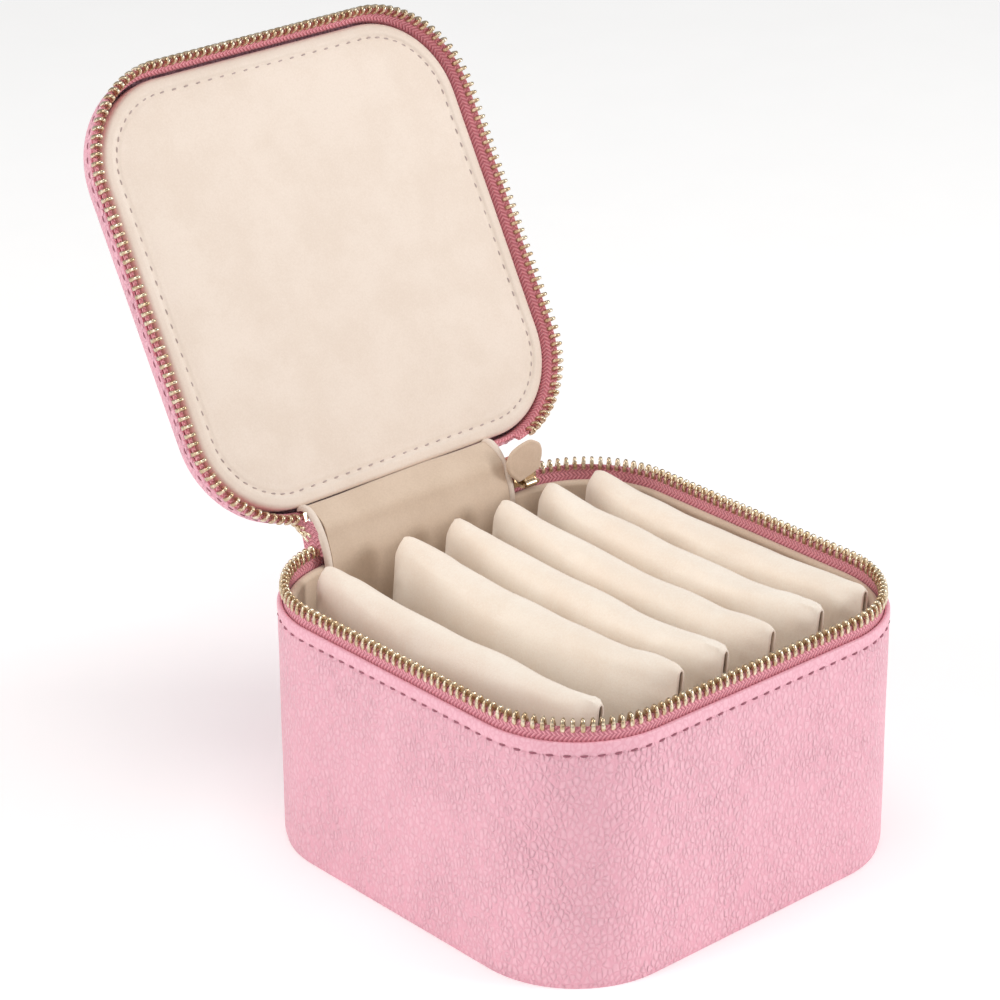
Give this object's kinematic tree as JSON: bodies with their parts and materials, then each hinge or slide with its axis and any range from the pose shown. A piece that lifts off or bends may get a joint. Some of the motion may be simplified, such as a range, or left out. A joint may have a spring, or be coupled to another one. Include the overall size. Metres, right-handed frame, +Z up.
{
  "type": "jewellery case",
  "caption": "Square zip-round leather jewellery case with rounded corners, hinged lid standing open, suede-lined, holding a row of soft suede pouches.",
  "frame": {"origin": "centre of the base's flat bottom face", "axes": "+X right, +Y towards the lid's hinge, +Z up; the lid is open at rest and leans back over +Y"},
  "size_m": [0.13, 0.201, 0.1929],
  "materials": {
    "pink_leather": "pebbled, semi-matt",
    "tape_pink": "herringbone weave",
    "thread_mauve": "matt thread",
    "cream_suede": "microsuede, matt",
    "beige_suede": "microsuede, matt",
    "gold_metal": "polished, pale gold",
    "board": "matt",
    "foam": "matt"
  },
  "bodies": {
    "base": {"base_bottom_leather": "pink_leather", "base_bottom_board": "board", "base_leather": "pink_leather", "base_wall_board": "board", "base_wall_lining": "beige_suede", "base_floor_foam": "foam", "base_floor_lining": "beige_suede", "base_zip_tape": "tape_pink", "base_zip_teeth": "gold_metal", "base_stitching": "thread_mauve", "base_end_stop": "gold_metal", "hinge_leather": "pink_leather", "hinge_lining": "beige_suede", "hinge_binding_left": "cream_suede", "hinge_binding_right": "cream_suede"},
    "lid": {"lid_leather": "pink_leather", "lid_board": "board", "lid_foam": "foam", "lid_lining": "cream_suede", "lid_zip_tape": "tape_pink", "lid_zip_teeth": "gold_metal", "lid_end_stop": "gold_metal", "lid_stitching": "thread_mauve", "lid_pad_stitching": "thread_mauve"},
    "slider": {"slider_body": "gold_metal", "slider_bail": "gold_metal"},
    "pull": {"pull_link": "gold_metal", "pull_tab": "cream_suede"},
    "pouch_1": {"pouch_1_bag": "cream_suede", "pouch_1_flap": "cream_suede", "pouch_1_snap": "gold_metal"},
    "pouch_2": {"pouch_2_bag": "cream_suede", "pouch_2_flap": "cream_suede", "pouch_2_snap": "gold_metal"},
    "pouch_3": {"pouch_3_bag": "cream_suede", "pouch_3_flap": "cream_suede", "pouch_3_snap": "gold_metal"},
    "pouch_4": {"pouch_4_bag": "cream_suede", "pouch_4_flap": "cream_suede", "pouch_4_snap": "gold_metal"},
    "pouch_5": {"pouch_5_bag": "cream_suede", "pouch_5_flap": "cream_suede", "pouch_5_snap": "gold_metal"},
    "pouch_6": {"pouch_6_bag": "cream_suede", "pouch_6_flap": "cream_suede", "pouch_6_snap": "gold_metal"}
  },
  "joints": [
    {"name": "lid_hinge", "type": "hinge", "parent": "base", "child": "lid", "pos_m": [0, 0.0666, 0.0772], "axis": [-1, 0, 0], "range_deg": [-119, 0], "deforming": ["hinge_leather", "hinge_lining", "hinge_binding_left", "hinge_binding_right", "pull_tab"]},
    {"name": "slider_travel", "type": "hinge", "parent": "base", "child": "slider", "pos_m": [0.035, 0.035, 0.0744], "axis": [0, 0, -1], "range_deg": [0, 85]},
    {"name": "pull_swing", "type": "hinge", "parent": "slider", "child": "pull", "pos_m": [0.0345, 0.0584, 0.072], "axis": [1, 0, 0], "range_deg": [0, 65]},
    {"name": "pouch_1_lift", "type": "slide", "parent": "base", "child": "pouch_1", "axis": [0.0872, 0, 0.9962], "range_m": [0, 0.09]},
    {"name": "pouch_2_lift", "type": "slide", "parent": "base", "child": "pouch_2", "axis": [0.0872, 0, 0.9962], "range_m": [0, 0.09]},
    {"name": "pouch_3_lift", "type": "slide", "parent": "base", "child": "pouch_3", "axis": [0.0872, 0, 0.9962], "range_m": [0, 0.09]},
    {"name": "pouch_4_lift", "type": "slide", "parent": "base", "child": "pouch_4", "axis": [0.0872, 0, 0.9962], "range_m": [0, 0.09]},
    {"name": "pouch_5_lift", "type": "slide", "parent": "base", "child": "pouch_5", "axis": [0.0872, 0, 0.9962], "range_m": [0, 0.09]},
    {"name": "pouch_6_lift", "type": "slide", "parent": "base", "child": "pouch_6", "axis": [0.0872, 0, 0.9962], "range_m": [0, 0.09]}
  ]
}
